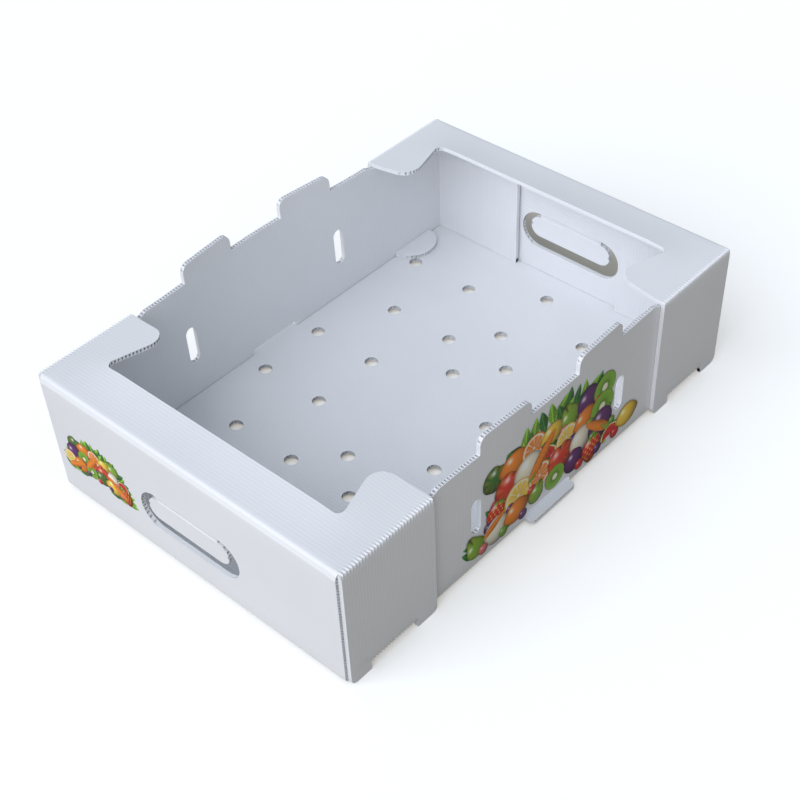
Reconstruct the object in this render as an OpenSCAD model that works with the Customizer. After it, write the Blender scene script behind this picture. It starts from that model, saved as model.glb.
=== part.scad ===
// Folded produce tray, die-cut from one sheet of fluted plastic board.
// The flutes run across the tray: along Y in the base, the ledges and the end walls,
// and up Z in the long walls, the corner flaps and the side flaps.
// X is the long way, Y the short way, Z is up, and the tray stands on Z = 0.

/* [Board] */
// Thickness of the fluted board
board = 4; // [3:0.25:5]
// Spacing of the flutes
flute_pitch = 3.2; // [3:0.1:6]
// Thickness of each outer skin
skin_t = 0.5; // [0.3:0.05:0.8]
// Thickness of the ribs between two flutes
rib_t = 0.5; // [0.3:0.05:0.8]
// Gap between two layers of board that lie on each other
layer_gap = 0.3; // [0.2:0.05:0.6]

/* [Tray] */
// Length over the end walls
tray_l = 500; // [460:5:600]
// Width over the side flaps
tray_w = 342; // [310:2:420]
// Height of the ledges above the ground
tray_h = 128; // [110:1:160]
// Height of the base above the ground, which is how far the feet stand out below it
foot_drop = 3; // [2:0.5:8]

/* [Long walls] */
// How far the middle of a long wall stands above its ends under the ledges
wall_rise = 3.3; // [1:0.1:6]
// Length of the slope from the raised middle down to the ends
wall_slope = 8; // [4:1:16]
// Distance from a wing's side to the foot of that slope
slope_gap = 2; // [0.5:0.5:6]
// Width of a stacking tab
tab_w = 60; // [40:1:64]
// Height of a stacking tab above the wall
tab_h = 17; // [10:1:30]
// Distance of a stacking tab's middle from the tray's middle
tab_x = 61; // [40:1:64]
// Corner radius of a stacking tab
tab_r = 8; // [2:1:10]
// Width of a wall slot
slot_w = 12; // [6:1:16]
// Height of a wall slot
slot_h = 38; // [20:1:50]
// Distance of a wall slot from the tray's middle
slot_x = 95; // [80:1:115]
// Height of a wall slot's lower end above the base
slot_z = 36; // [20:1:44]
// Width of the locating lug that stays flat with the base
lug_w = 59; // [30:1:60]
// How far a locating lug stands out of the long wall
lug_out = 7.5; // [3:0.5:15]
// Corner radius of a locating lug and of its notch in the wall
lug_r = 4; // [1:0.5:4]
// Height of the notch above the base that the lug was cut from
notch_h = 5.7; // [5:0.1:12]

/* [Corner flaps] */
// Distance of a corner flap's free edge from the tray's middle
corner_free_y = 61; // [60:1:100]

/* [Ledges] */
// Width of a ledge
ledge_w = 42; // [30:1:60]
// Height of the bevelled fold between end wall and ledge
bevel_h = 6; // [4.5:0.5:10]
// Depth of the bevelled fold
bevel_d = 2.3; // [1:0.1:2.6]
// Length of a wing and its side flap along the long wall
wing_l = 102; // [90:1:104]
// How much narrower a wing is at its tip
wing_lean = 2; // [0:0.5:4]
// Distance of a wing's crest from the outside of the tray
crest_reach = 50; // [40:1:60]
// Radius of a wing's tip
wing_r = 15; // [8:1:18]
// How much lower the mouth's corner lies than the wing's crest
mouth_dip = 10; // [8:1:14]
// Radius of the mouth's corners
mouth_r = 6; // [3:0.5:8]

/* [Side flaps] */
// How far a side flap starts behind the face of the end wall
flap_inset = 2.6; // [1:0.1:3.5]
// Corner radius of the feet
foot_r = 7; // [3:0.5:9]
// Width of a locking tongue
tongue_w = 52; // [30:1:56]
// How far a locking tongue reaches over the base
tongue_l = 24; // [12:1:40]
// Distance of a locking tongue's middle from the end of the tray
tongue_from_end = 52; // [45:1:60]
// Room at each side of a tongue in its slot and between the feet
tongue_play = 1; // [0.5:0.25:2]

/* [Handles] */
// Width of a handle hole
handle_w = 115; // [90:1:118]
// Height of a handle hole
handle_h = 39.5; // [37:0.5:50]
// Height of a handle hole's lower edge above the underside of the base
handle_z = 31; // [15:1:50]
// Radius of a finger flap's ends
finger_r = 11; // [6:0.5:12]
// Gap at each end of a finger flap
finger_side = 10.5; // [6:0.5:14]
// Gap below a finger flap
finger_gap = 13.5; // [8:0.5:16]

/* [Vents] */
// Diameter of the vent holes in the base
vent_d = 13; // [6:0.5:18]
// Spacing of the vent columns along the tray
vent_dx = 35.5; // [30:0.5:36.5]
// Spacing of the vent rows across the tray
vent_dy = 35; // [25:0.5:36]

/* [Hidden] */
// A sliver that carries a cut past the face it opens
past = 1;
arc_steps = 6;
vent_fn = 16;

// Rounds to a fine binary grid, so that faces worked out in two ways meet exactly
function on_grid(v) = round(v * 65536) / 65536;

board_t = on_grid(board);
slip = on_grid(layer_gap);

// Levels
base_z = on_grid(foot_drop);
floor_z = base_z + board_t;
top_z = on_grid(tray_h);
ledge_z = top_z - board_t;
wall_end_z = ledge_z - slip;
wall_top_z = wall_end_z + wall_rise;
tongue_z = floor_z + slip;
handle_low_z = base_z + handle_z;
finger_low_z = handle_low_z + finger_gap;
finger_axis_z = handle_low_z + handle_h - slip - board_t / 2;

// Faces, measured out from the middle of the tray
end_out = on_grid(tray_l / 2);
end_in = end_out - board_t;
corner_out = end_in - slip;
corner_in = corner_out - board_t;
flap_out = on_grid(tray_w / 2);
flap_in = flap_out - board_t;
wall_out = flap_in - slip;
wall_in = wall_out - board_t;
free_y = on_grid(corner_free_y);
lug_x = on_grid(lug_w / 2);
notch_x = lug_x + slip;
root_x = end_in + (board_t - bevel_d) / 2;
mouth_x = end_out - ledge_w;
wing_x = on_grid(end_out - wing_l);
flap_x = on_grid(end_out - flap_inset);
slope_x = wing_x - slope_gap;
tongue_x = on_grid(end_out - tongue_from_end);
tongue_half = on_grid(tongue_w / 2);
tongue_room = tongue_half + on_grid(tongue_play);
finger_neck = handle_w / 2 - finger_side - finger_r;
crest_y = flap_out - crest_reach;
mouth_y = crest_y + mouth_dip;

// Which vent rows each column has, counted out from the middle
vent_rows = [[2, 4], [0], [1, 3], [0], [2, 4], [0]];

// Points of an arc from angle a to angle b
function arc(c, r, a, b) =
    [for (i = [0:arc_steps]) c + r * [cos(a + (b - a) * i / arc_steps), sin(a + (b - a) * i / arc_steps)]];

// Direction square to the straight edge that joins a round at p to a hollow round at q
function tangent_angle(p, rp, q, rq) =
    atan2(p.y - q.y, p.x - q.x) - acos((rp + rq) / norm(p - q));

// Copies in all four corners of the tray
module each_corner()
    for (x = [0, 1], y = [0, 1])
        mirror([x, 0, 0]) mirror([0, y, 0]) children();

// Copies on both long sides
module each_side()
    for (y = [0, 1]) mirror([0, y, 0]) children();

// Copies at both ends
module each_end()
    for (x = [0, 1]) mirror([x, 0, 0]) children();

// Stands an outline drawn in X and Z up as a panel whose outer face lies at y
module stand_along(y)
    translate([0, y, 0]) rotate([90, 0, 0]) linear_extrude(board_t) children();

// Stands an outline drawn in Y and Z up as a panel whose inner face lies at x
module stand_across(x)
    translate([x, 0, 0]) rotate([90, 0, 90]) linear_extrude(board_t) children();

// Section of the flutes between a and b, as they lie in the board's thickness
module flute_cells(a, b)
    for (i = [ceil((a + flute_pitch / 2) / flute_pitch):floor((b - flute_pitch / 2) / flute_pitch)])
        translate([i * flute_pitch - (flute_pitch - rib_t) / 2, skin_t])
            square([flute_pitch - rib_t, board_t - 2 * skin_t]);

// Flutes that rise from z0 to z1 in a panel with its outer face at y
module rising_flutes(a, b, y, z0, z1)
    translate([0, y - board_t, z0]) linear_extrude(z1 - z0) flute_cells(a, b);

// Flutes that run along Y from y0 to y1 in a flat panel with its lower face at z
module level_flutes(a, b, z, y0, y1)
    translate([0, y1, z]) rotate([90, 0, 0]) linear_extrude(y1 - y0) flute_cells(a, b);

// Section of a fold: the board turns a square corner with its inner edge at the origin,
// and both legs reach a little into the panels that it joins
module fold_section()
    union() {
        intersection() {
            circle(r = board_t, $fn = 32);
            square(board_t);
        }
        polygon([[-past, 0], [0, 0], [0, -past], [board_t, -past], [board_t, 0],
            [board_t / 2, board_t / 2], [0, board_t], [-past, board_t]]);
    }

// Upright slot with round ends, drawn from its lower end
module slot_outline(w, h)
    union() {
        translate([-w / 2, w / 2]) square([w, h - w]);
        translate([0, w / 2]) circle(d = w, $fn = 24);
        translate([0, h - w / 2]) circle(d = w, $fn = 24);
    }

// Base with its vents and the two locating lugs
module base_panel() {
    lug_y = wall_out + lug_out;
    quarter = concat(
        [[0, 0], [end_in, 0], [end_in, wall_in], [lug_x, wall_in]],
        arc([lug_x - lug_r, lug_y - lug_r], lug_r, 0, 90), [[0, lug_y]]);
    difference() {
        translate([0, 0, base_z]) linear_extrude(board_t)
            for (sx = [0, 1], sy = [0, 1])
                mirror([sx, 0]) mirror([0, sy]) polygon(quarter);
        level_flutes(-lug_x, lug_x, base_z, -lug_y - past, lug_y + past);
        for (k = [0:len(vent_rows) - 1], row = vent_rows[k], sx = [-1, 1], sy = row == 0 ? [1] : [-1, 1])
            translate([sx * (k + 1) * vent_dx, sy * row * vent_dy, base_z - past])
                cylinder(d = vent_d, h = board_t + 2 * past, $fn = vent_fn);
    }
}

// Half outline of a long wall in X and Z, from the notch at the lug to the end
function half_wall() = concat(
    [[corner_in, floor_z], [corner_in, wall_end_z], [slope_x, wall_end_z],
     [slope_x - wall_slope, wall_top_z], [tab_x + tab_w / 2, wall_top_z]],
    arc([tab_x + tab_w / 2 - tab_r, wall_top_z + tab_h - tab_r], tab_r, 0, 90),
    arc([tab_x - tab_w / 2 + tab_r, wall_top_z + tab_h - tab_r], tab_r, 90, 180),
    [[tab_x - tab_w / 2, wall_top_z], [0, wall_top_z], [0, floor_z + notch_h]],
    arc([notch_x - lug_r, floor_z + notch_h - lug_r], lug_r, 90, 0),
    [[notch_x, floor_z]]);

// Long wall with its stacking tabs, slots, lug notch and the slots for the tongues
module long_wall()
    difference() {
        union() {
            stand_along(wall_out) {
                polygon(half_wall());
                mirror([1, 0]) polygon(half_wall());
            }
            long_wall_fold();
        }
        rising_flutes(-wing_x, wing_x, wall_out, floor_z + board_t / 2, top_z + tab_h + board_t);
        each_end() {
            translate([slot_x, wall_out + past, floor_z + slot_z]) rotate([90, 0, 0])
                linear_extrude(board_t + 2 * past) slot_outline(slot_w, slot_h);
            translate([tongue_x - tongue_room, wall_in - past, floor_z])
                cube([2 * tongue_room, board_t + 2 * past, board_t + 2 * slip]);
        }
    }

// Fold between the base and a long wall, open where the lug stays flat
module long_wall_fold()
    each_end()
        translate([notch_x, wall_in, floor_z]) rotate([90, 0, 90])
            linear_extrude(corner_in - notch_x) mirror([0, 1]) fold_section();

// Flap that folds in from the end of a long wall and backs the end wall
module corner_flap() {
    low = floor_z + slip;
    translate([corner_in, free_y, low])
        cube([board_t, wall_in - free_y, wall_end_z - low]);
    translate([corner_in, wall_in, low]) linear_extrude(wall_end_z - low) fold_section();
}

// End wall with its handle hole and the bevelled fold at its top
module end_wall() {
    difference() {
        translate([0, wall_out, 0]) rotate([90, 0, 0]) linear_extrude(2 * wall_out) difference() {
            polygon([[end_in, floor_z], [end_out, floor_z], [end_out, top_z - bevel_h],
                [end_out - bevel_d, top_z], [end_in, top_z]]);
            translate([end_out, 0]) rotate(90) flute_cells(floor_z, top_z - bevel_h);
        }
        translate([0, 0, handle_low_z]) stand_across(end_in) handle_outline();
    }
    translate([end_in, wall_out, floor_z]) rotate([90, 0, 0])
        linear_extrude(2 * wall_out) mirror([0, 1]) fold_section();
}

// Handle hole in Y and Z, drawn from its lower edge
module handle_outline()
    translate([0, handle_h / 2]) {
        square([handle_w - handle_h, handle_h], center = true);
        for (s = [-1, 1])
            translate([s * (handle_w - handle_h) / 2, 0]) circle(d = handle_h, $fn = 32);
    }

// Half outline of a ledge in X and Y, from its middle round the wing
function half_ledge() =
    let (tip = [wing_x + wing_lean + wing_r, crest_y + wing_r],
         hollow = [mouth_x - mouth_r, mouth_y - mouth_r],
         turn = tangent_angle(tip, wing_r, hollow, mouth_r))
    concat(
        [[root_x, 0], [root_x, wall_out], [flap_x, wall_out], [flap_x, flap_in], [wing_x, flap_in]],
        arc(tip, wing_r, 180, 180 + turn),
        arc(hollow, mouth_r, turn, 0),
        [[mouth_x, 0]]);

// Ledge with a wing at each end that lies over the long wall
module ledge()
    difference() {
        translate([0, 0, ledge_z]) linear_extrude(board_t) union() {
            polygon(half_ledge());
            mirror([0, 1]) polygon(half_ledge());
        }
        each_side()
            level_flutes(wing_x, mouth_x, ledge_z, 0, flap_in - board_t / 2);
    }

// Flap that hangs from a wing outside the long wall and ends in two feet
module side_flap() {
    gap_a = tongue_x - tongue_room;
    gap_b = tongue_x + tongue_room;
    tongue_top = tongue_z + board_t;
    difference() {
        stand_along(flap_out) polygon(concat(
            [[wing_x, ledge_z]],
            arc([wing_x + foot_r, foot_r], foot_r, 180, 270),
            [[gap_a, 0], [gap_a, tongue_top], [gap_b, tongue_top], [gap_b, 0]],
            arc([flap_x - foot_r, foot_r], foot_r, 270, 360),
            [[flap_x, ledge_z]]));
        for (foot = [[wing_x, gap_a], [gap_b, flap_x]])
            rising_flutes(foot[0], foot[1], flap_out, -past, ledge_z - board_t / 2);
    }
    translate([wing_x, flap_in, ledge_z]) rotate([90, 0, 90])
        linear_extrude(flap_x - wing_x) fold_section();
}

// Tongue at the foot of a side flap, turned in through the wall's slot onto the base
module locking_tongue() {
    difference() {
        translate([tongue_x, 0, tongue_z]) linear_extrude(board_t) polygon(concat(
            [[tongue_half, flap_in]],
            [for (i = [0:2 * arc_steps]) let (a = 90 * i / arc_steps)
                [tongue_half * cos(a), wall_in - tongue_l * sin(a)]],
            [[-tongue_half, flap_in]]));
        level_flutes(tongue_x - tongue_half, tongue_x + tongue_half, tongue_z, 0, wall_in);
    }
    translate([tongue_x - tongue_half, flap_in, tongue_z + board_t]) rotate([90, 0, 90])
        linear_extrude(2 * tongue_half) mirror([0, 1]) fold_section();
}

// The whole die-cut sheet, folded up
module folded_sheet()
    color([0.84, 0.87, 0.91]) union() {
        base_panel();
        each_side() long_wall();
        each_end() {
            end_wall();
            ledge();
        }
        each_corner() {
            corner_flap();
            side_flap();
            locking_tongue();
        }
    }

// Finger flap cut free in a handle hole, which swings in on the crease along its top
module finger_flap()
    difference() {
        union() {
            stand_across(end_in) union() {
                translate([-finger_neck, finger_low_z])
                    square([2 * finger_neck, finger_axis_z - finger_low_z]);
                for (s = [-1, 1])
                    translate([s * finger_neck, finger_low_z + finger_r]) circle(r = finger_r, $fn = 32);
            }
            translate([end_in + board_t / 2, finger_neck, finger_axis_z]) rotate([90, 0, 0])
                cylinder(d = board_t, h = 2 * finger_neck, $fn = 32);
        }
        translate([end_out, handle_w / 2, 0]) rotate([90, 0, 0]) linear_extrude(handle_w)
            rotate(90) flute_cells(finger_low_z, finger_axis_z);
    }

module near_finger_flap()
    color([0.82, 0.85, 0.89]) mirror([1, 0, 0]) finger_flap();

module far_finger_flap()
    color([0.82, 0.85, 0.89]) finger_flap();

folded_sheet();
near_finger_flap();
far_finger_flap();
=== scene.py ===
"""A produce tray folded from one sheet of fluted plastic board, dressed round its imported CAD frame.

The board is worked out flat, as it leaves the die, and is then folded. A point of it has two flat
coordinates, u across the flutes and v along them, and a height w in the board's thickness, where
w is 0 in the middle and positive on the side that faces into the tray. Sizes are in millimetres
until the points go into a mesh.
"""
import logging
import math
from collections.abc import Callable, Sequence
from dataclasses import dataclass, field, replace
from enum import Enum

import bpy
import numpy as np
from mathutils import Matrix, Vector
from mathutils.geometry import delaunay_2d_cdt


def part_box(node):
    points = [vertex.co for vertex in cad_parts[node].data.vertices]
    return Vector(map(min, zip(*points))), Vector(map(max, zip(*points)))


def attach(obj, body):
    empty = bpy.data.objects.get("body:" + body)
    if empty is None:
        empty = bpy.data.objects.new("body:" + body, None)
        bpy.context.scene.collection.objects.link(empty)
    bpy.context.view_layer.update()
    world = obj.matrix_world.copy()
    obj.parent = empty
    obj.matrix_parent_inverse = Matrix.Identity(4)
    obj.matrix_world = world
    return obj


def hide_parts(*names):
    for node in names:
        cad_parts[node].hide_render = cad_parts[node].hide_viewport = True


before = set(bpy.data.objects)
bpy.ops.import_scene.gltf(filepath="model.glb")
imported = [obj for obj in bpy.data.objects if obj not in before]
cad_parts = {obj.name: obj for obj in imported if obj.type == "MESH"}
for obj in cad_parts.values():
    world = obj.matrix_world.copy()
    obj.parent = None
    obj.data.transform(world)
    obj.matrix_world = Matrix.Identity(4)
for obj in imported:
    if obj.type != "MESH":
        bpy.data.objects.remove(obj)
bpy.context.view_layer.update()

log = logging.getLogger("tray")

MM = 0.001
QUARTER_TURN = math.pi / 2
Array = np.ndarray
Place = Callable[[Array, Array, Array], Array]


@dataclass(frozen=True)
class Board:
    """The fluted board that everything is cut from.

    A flute stays shut where the cut runs nearly along it, at a cosine under closed_below, and the
    lines through a fold stop short of the piece's edge by rim.
    """

    thickness: float = 4.0
    pitch: float = 3.2
    skin: float = 0.4
    rib: float = 1.4
    inner_radius: float = 0.2
    open_depth: float = 4.0
    closed_below: float = 0.3
    rim: float = 0.4

    @property
    def half(self) -> float:
        """Half of the thickness."""
        return self.thickness / 2

    @property
    def fold_radius(self) -> float:
        """Radius of the middle of the board in a square fold."""
        return self.inner_radius + self.half

    @property
    def fold_length(self) -> float:
        """Length of the middle of the board through a square fold."""
        return self.fold_radius * QUARTER_TURN

    def rib_lines(self, low: float, high: float) -> Array:
        """Both sides of every rib between two values of u.

        Args:
            low: least u of the panel.
            high: greatest u of the panel.

        Returns:
            The u of each side: a flute is centred on every multiple of the pitch.
        """
        cells = np.arange(math.floor(low / self.pitch), math.ceil(high / self.pitch) + 1)
        reach = (self.pitch - self.rib) / 2
        return np.sort(np.concatenate([cells * self.pitch - reach, cells * self.pitch + reach]))


BOARD = Board()


@dataclass(frozen=True)
class FoldedPath:
    """Middle line of the board in one plane: straight legs and arcs, one after the other.

    Each leg is its length and the angle by which the line bears left along it.
    """

    start: tuple[float, float]
    heading: float
    legs: tuple[tuple[float, float], ...]

    def place(self, along: Array, w: Array) -> tuple[Array, Array]:
        """Points of the board's section.

        A leg of heading h and curvature k reaches, after a distance d, the chord
        d * sin(k d / 2) / (k d / 2) long in the direction h + k d / 2. The height w is laid off
        square to the line, to its left.

        Args:
            along: distance from the start of the line.
            w: height to the left of the line.

        Returns:
            The two coordinates of each point in the plane of the section.
        """
        length, turn = np.array(self.legs).T
        begin = np.concatenate([[0.0], np.cumsum(length)])
        bearing = self.heading + np.concatenate([[0.0], np.cumsum(turn)])
        chord = _chord(bearing[:-1], turn / length, length)
        corner = np.array(self.start) + np.concatenate([[[0.0, 0.0]], np.cumsum(chord, axis=0)])
        leg = np.clip(np.searchsorted(begin, along, side="right") - 1, 0, len(length) - 1)
        gone = along - begin[leg]
        curve = (turn / length)[leg]
        middle = corner[leg] + _chord(bearing[leg], curve, gone)
        facing = bearing[leg] + curve * gone
        return middle[:, 0] - np.sin(facing) * w, middle[:, 1] + np.cos(facing) * w


def _chord(heading: Array, curvature: Array, distance: Array) -> Array:
    """Vector from the start of an arc to the point a distance along it, as FoldedPath.place says."""
    half_turn = curvature * distance / 2
    reach = distance * np.sinc(half_turn / math.pi)
    return np.stack([reach * np.cos(heading + half_turn), reach * np.sin(heading + half_turn)], axis=-1)


def arc(centre: tuple[float, float], radius: float, start: float, end: float, steps: int = 8) -> Array:
    """Points of an arc.

    Args:
        centre: middle of the arc.
        radius: radius of the arc.
        start: angle of the first point, in degrees.
        end: angle of the last point, in degrees.
        steps: number of straight sides.

    Returns:
        The points, one in each row.
    """
    angle = np.radians(np.linspace(start, end, steps + 1))
    return np.array(centre) + radius * np.stack([np.cos(angle), np.sin(angle)], axis=-1)


def joined(*runs: Sequence) -> Array:
    """Puts runs of points one behind the other and leaves out points that repeat the one before."""
    points = np.concatenate([np.atleast_2d(np.array(run, float)) for run in runs])
    step = np.linalg.norm(points - np.roll(points, 1, axis=0), axis=1)
    return points[step > 1e-6]


def mirrored(half: Array, axis: int) -> Array:
    """Closes a half outline with its mirror image, with the sign of one coordinate turned round."""
    other = half[::-1].copy()
    other[:, axis] *= -1
    return joined(half, other)


def counter_clockwise(loop: Array) -> Array:
    """The loop in the order that keeps its inside on the left: its signed area is positive."""
    ahead = np.roll(loop, -1, axis=0)
    area = np.sum(loop[:, 0] * ahead[:, 1] - loop[:, 1] * ahead[:, 0])
    return loop if area > 0 else loop[::-1]


def split_at_lines(loop: Array, u_lines: Array, v_lines: Array) -> Array:
    """Adds a point wherever a closed loop crosses one of the lines.

    A side from p to q crosses the line u = c at the share (c - p.u) / (q.u - p.u) of its length,
    and the points are put in order by the side they lie on plus that share.

    Args:
        loop: corners of the loop.
        u_lines: values of u.
        v_lines: values of v.

    Returns:
        The corners with the crossings between them.
    """
    ahead = np.roll(loop, -1, axis=0)
    side = np.arange(len(loop))
    order = [side.astype(float)]
    for axis, lines in enumerate((u_lines, v_lines)):
        span = (ahead - loop)[:, axis]
        span = np.where(np.abs(span) < 1e-9, np.inf, span)
        share = (lines[None, :] - loop[:, axis, None]) / span[:, None]
        crossed = (share > 1e-4) & (share < 1 - 1e-4)
        order.append((side[:, None] + share)[crossed])
    order = np.unique(np.concatenate(order).round(5))
    first = np.minimum(np.floor(order).astype(int), len(loop) - 1)
    share = (order - first)[:, None]
    return loop[first] * (1 - share) + ahead[first] * share


def is_inside(points: Array, loops: Sequence[Array]) -> Array:
    """Even-odd rule: a ray along u from an inside point crosses the loops an odd number of times.

    Args:
        points: points to test.
        loops: outline and holes.

    Returns:
        True for each point that lies in the outline and in no hole.
    """
    odd = np.zeros(len(points), bool)
    for loop in loops:
        ahead = np.roll(loop, -1, axis=0)
        rise = ahead[:, 1] - loop[:, 1]
        slope = (ahead[:, 0] - loop[:, 0]) / np.where(np.abs(rise) < 1e-12, 1e-12, rise)
        blocks = 1 + len(points) * len(loop) // 4_000_000
        for block in np.array_split(np.arange(len(points)), blocks):
            u, v = points[block, 0, None], points[block, 1, None]
            spans = (loop[:, 1] > v) != (ahead[:, 1] > v)
            crossed = spans & (u < loop[:, 0] + slope * (v - loop[:, 1]))
            odd[block] ^= crossed.sum(axis=1) % 2 == 1
    return odd


def lattice(u: Array, v: Array) -> Array:
    """Every pair of one u and one v, one in each row."""
    return np.stack(np.meshgrid(u, v), axis=-1).reshape(-1, 2)


def clear_of(values: Array, low: float, high: float, margin: float = 1.5) -> Array:
    """The values whose size is not between low and high, with a margin on both sides."""
    return values[(np.abs(values) < low - margin) | (np.abs(values) > high + margin)]


def make_object(
    name: str, points: Array, faces: Sequence[Array], flat: Array, crease: float = 40.0
) -> bpy.types.Object:
    """Makes an object from whole arrays.

    Args:
        name: name of the piece.
        points: places of the vertices, in metres.
        faces: arrays of vertex numbers, one array for each number of corners.
        flat: flat coordinates of the vertices, in millimetres, for the map that the finish follows.
        crease: edges that turn by more than this many degrees stay sharp.

    Returns:
        The object, at the origin, with smooth faces and a map named flat.
    """
    mesh = bpy.data.meshes.new(name)
    corners = np.concatenate([f.ravel() for f in faces]).astype(np.int32)
    sizes = np.concatenate([np.full(len(f), f.shape[1]) for f in faces]).astype(np.int32)
    mesh.vertices.add(len(points))
    mesh.vertices.foreach_set("co", points.astype(np.float32).ravel())
    mesh.loops.add(len(corners))
    mesh.loops.foreach_set("vertex_index", corners)
    mesh.polygons.add(len(sizes))
    mesh.polygons.foreach_set("loop_start", np.concatenate([[0], np.cumsum(sizes)[:-1]]).astype(np.int32))
    mesh.polygons.foreach_set("use_smooth", np.ones(len(sizes), bool))
    mesh.update(calc_edges=True)
    layer = mesh.uv_layers.new(name="flat")
    layer.uv.foreach_set("vector", (flat[corners] * MM).astype(np.float32).ravel())
    mesh.set_sharp_from_angle(angle=math.radians(crease))
    mesh.validate()
    made = bpy.data.objects.new(name, mesh)
    bpy.context.scene.collection.objects.link(made)
    return made


@dataclass
class DieCut:
    """A die-cut piece of board, flat: its outline, its holes and the points that folding it needs.

    fold_lines are the values of v at which an opened flute stops short, as it is crushed there.
    rows are straight lines, each from one point to another, that no triangle crosses.
    """

    outline: Array
    holes: list[Array] = field(default_factory=list)
    inner: Array = field(default_factory=lambda: np.empty((0, 2)))
    fold_lines: Array = field(default_factory=lambda: np.empty(0))
    rows: Array = field(default_factory=lambda: np.empty((0, 2, 2)))
    edge_step: float = 12.0
    board: Board = BOARD

    def loops(self) -> list[Array]:
        """Outline and holes with points at every rib and at regular steps along the flutes."""
        low, high = self.outline.min(axis=0), self.outline.max(axis=0)
        ribs = self.board.rib_lines(low[0], high[0])
        steps = np.concatenate([
            np.arange(low[1] + self.edge_step / 2, high[1], self.edge_step),
            np.unique(self.inner[:, 1].round(4)),
        ])
        turned = [counter_clockwise(self.outline)] + [counter_clockwise(h)[::-1] for h in self.holes]
        return [split_at_lines(loop, ribs, steps) for loop in turned]

    def fold(self, name: str, place: Place, flipped: bool = False) -> bpy.types.Object:
        """Fills the outline, gives it thickness and open flutes, and folds it.

        Both skins are one constrained triangulation, at w = -half and w = half. Along the loops
        stand four rows of points. Where a side lies between two ribs and crosses the flutes, the
        face between the two middle rows is pushed in along the flutes, which opens the flute.

        Args:
            name: name of the piece.
            place: gives the place, in millimetres, of flat coordinates u and v and height w.
            flipped: True where the fold turns left into right, so that the faces are turned back.

        Returns:
            The folded piece.
        """
        loops = self.loops()
        flat, skin, rim, ahead = self._fill(loops)
        inward = self._open_flutes(flat, rim, ahead)
        count, edge = len(flat), len(rim)
        half, skin_t = self.board.half, self.board.skin
        pushed = flat[rim] + np.stack([np.zeros(edge), inward["shift"]], axis=-1)
        uv = np.concatenate([flat, flat, flat[rim], flat[rim], pushed, pushed])
        w = np.concatenate([
            np.full(count, -half), np.full(count, half),
            np.full(edge, skin_t - half), np.full(edge, half - skin_t),
            np.full(edge, skin_t - half), np.full(edge, half - skin_t),
        ])
        here = np.arange(edge)
        rows = [rim, 2 * count + here, 2 * count + edge + here, count + rim]
        back = [2 * count + 2 * edge + here, 2 * count + 3 * edge + here]
        open_, start, stop = inward["open"], inward["start"], inward["stop"]
        ahead_of = inward["ahead"]

        def strip(low: Array, high: Array, which: Array) -> Array:
            """Faces between two rows of points, at the sides that are picked out."""
            nxt = ahead_of[which]
            return np.stack([low[which], low[nxt], high[nxt], high[which]], axis=-1)

        quads = [
            strip(rows[0], rows[1], here),
            strip(rows[1], rows[2], here[~open_]),
            strip(rows[2], rows[3], here),
            strip(rows[1], back[0], here[open_]),
            strip(back[1], rows[2], here[open_]),
            strip(back[0], back[1], here[open_]),
            np.stack([r[start] for r in (rows[1], back[0], back[1], rows[2])], axis=-1),
            np.stack([r[stop] for r in (rows[1], rows[2], back[1], back[0])], axis=-1),
        ]
        triangles = np.concatenate([skin + count, skin[:, ::-1]])
        quads = np.concatenate(quads)
        if flipped:
            triangles, quads = triangles[:, ::-1], quads[:, ::-1]
        used, numbers = np.unique(np.concatenate([triangles.ravel(), quads.ravel()]), return_inverse=True)
        triangles = numbers[: triangles.size].reshape(-1, 3)
        quads = numbers[triangles.size:].reshape(-1, 4)
        uv, w = uv[used], w[used]
        return make_object(name, place(uv[:, 0], uv[:, 1], w) * MM, [triangles, quads], uv)

    def _fill(self, loops: list[Array]) -> tuple[Array, Array, Array, Array]:
        """Triangulates the flat piece.

        Args:
            loops: outline and holes, each with its inside on the left.

        Returns:
            The flat points, the triangles, the points along the loops, and the place in that run
            of the next point of the same loop.
        """
        inner = self.inner[is_inside(self.inner, loops)]
        gap = np.concatenate(loops)
        for block in np.array_split(np.arange(len(inner)), 1 + len(inner) * len(gap) // 4_000_000):
            apart = np.hypot(*(inner[block, None] - gap[None]).transpose(2, 0, 1)).min(axis=1)
            inner[block[apart < 0.15]] = np.nan
        inner = inner[~np.isnan(inner[:, 0])]
        first = np.cumsum([0] + [len(loop) for loop in loops])
        ahead = np.concatenate([
            first[n] + (np.arange(len(loop)) + 1) % len(loop) for n, loop in enumerate(loops)
        ])
        points = np.concatenate([*loops, inner, self.rows.reshape(-1, 2)])
        ends = np.arange(len(points) - 2 * len(self.rows), len(points)).reshape(-1, 2)
        edges = np.concatenate([np.stack([np.arange(len(ahead)), ahead], axis=-1), ends])
        made = delaunay_2d_cdt([Vector(p) for p in points], edges.tolist(), [], 0, 1e-5, True)
        flat, faces, origin = np.array([tuple(p) for p in made[0]]), np.array(made[2]), made[3]
        source = np.concatenate([np.array(o, int) for o in origin])
        target = np.empty(len(points), int)
        target[source] = np.repeat(np.arange(len(origin)), [len(o) for o in origin])
        corner = flat[faces]
        faces = faces[is_inside(corner.mean(axis=1), loops)]
        a, b = flat[faces[:, 1]] - flat[faces[:, 0]], flat[faces[:, 2]] - flat[faces[:, 0]]
        turn = a[:, 0] * b[:, 1] - a[:, 1] * b[:, 0]
        faces[turn < 0] = faces[turn < 0][:, ::-1]
        return flat, faces, target[: len(ahead)], ahead

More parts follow.
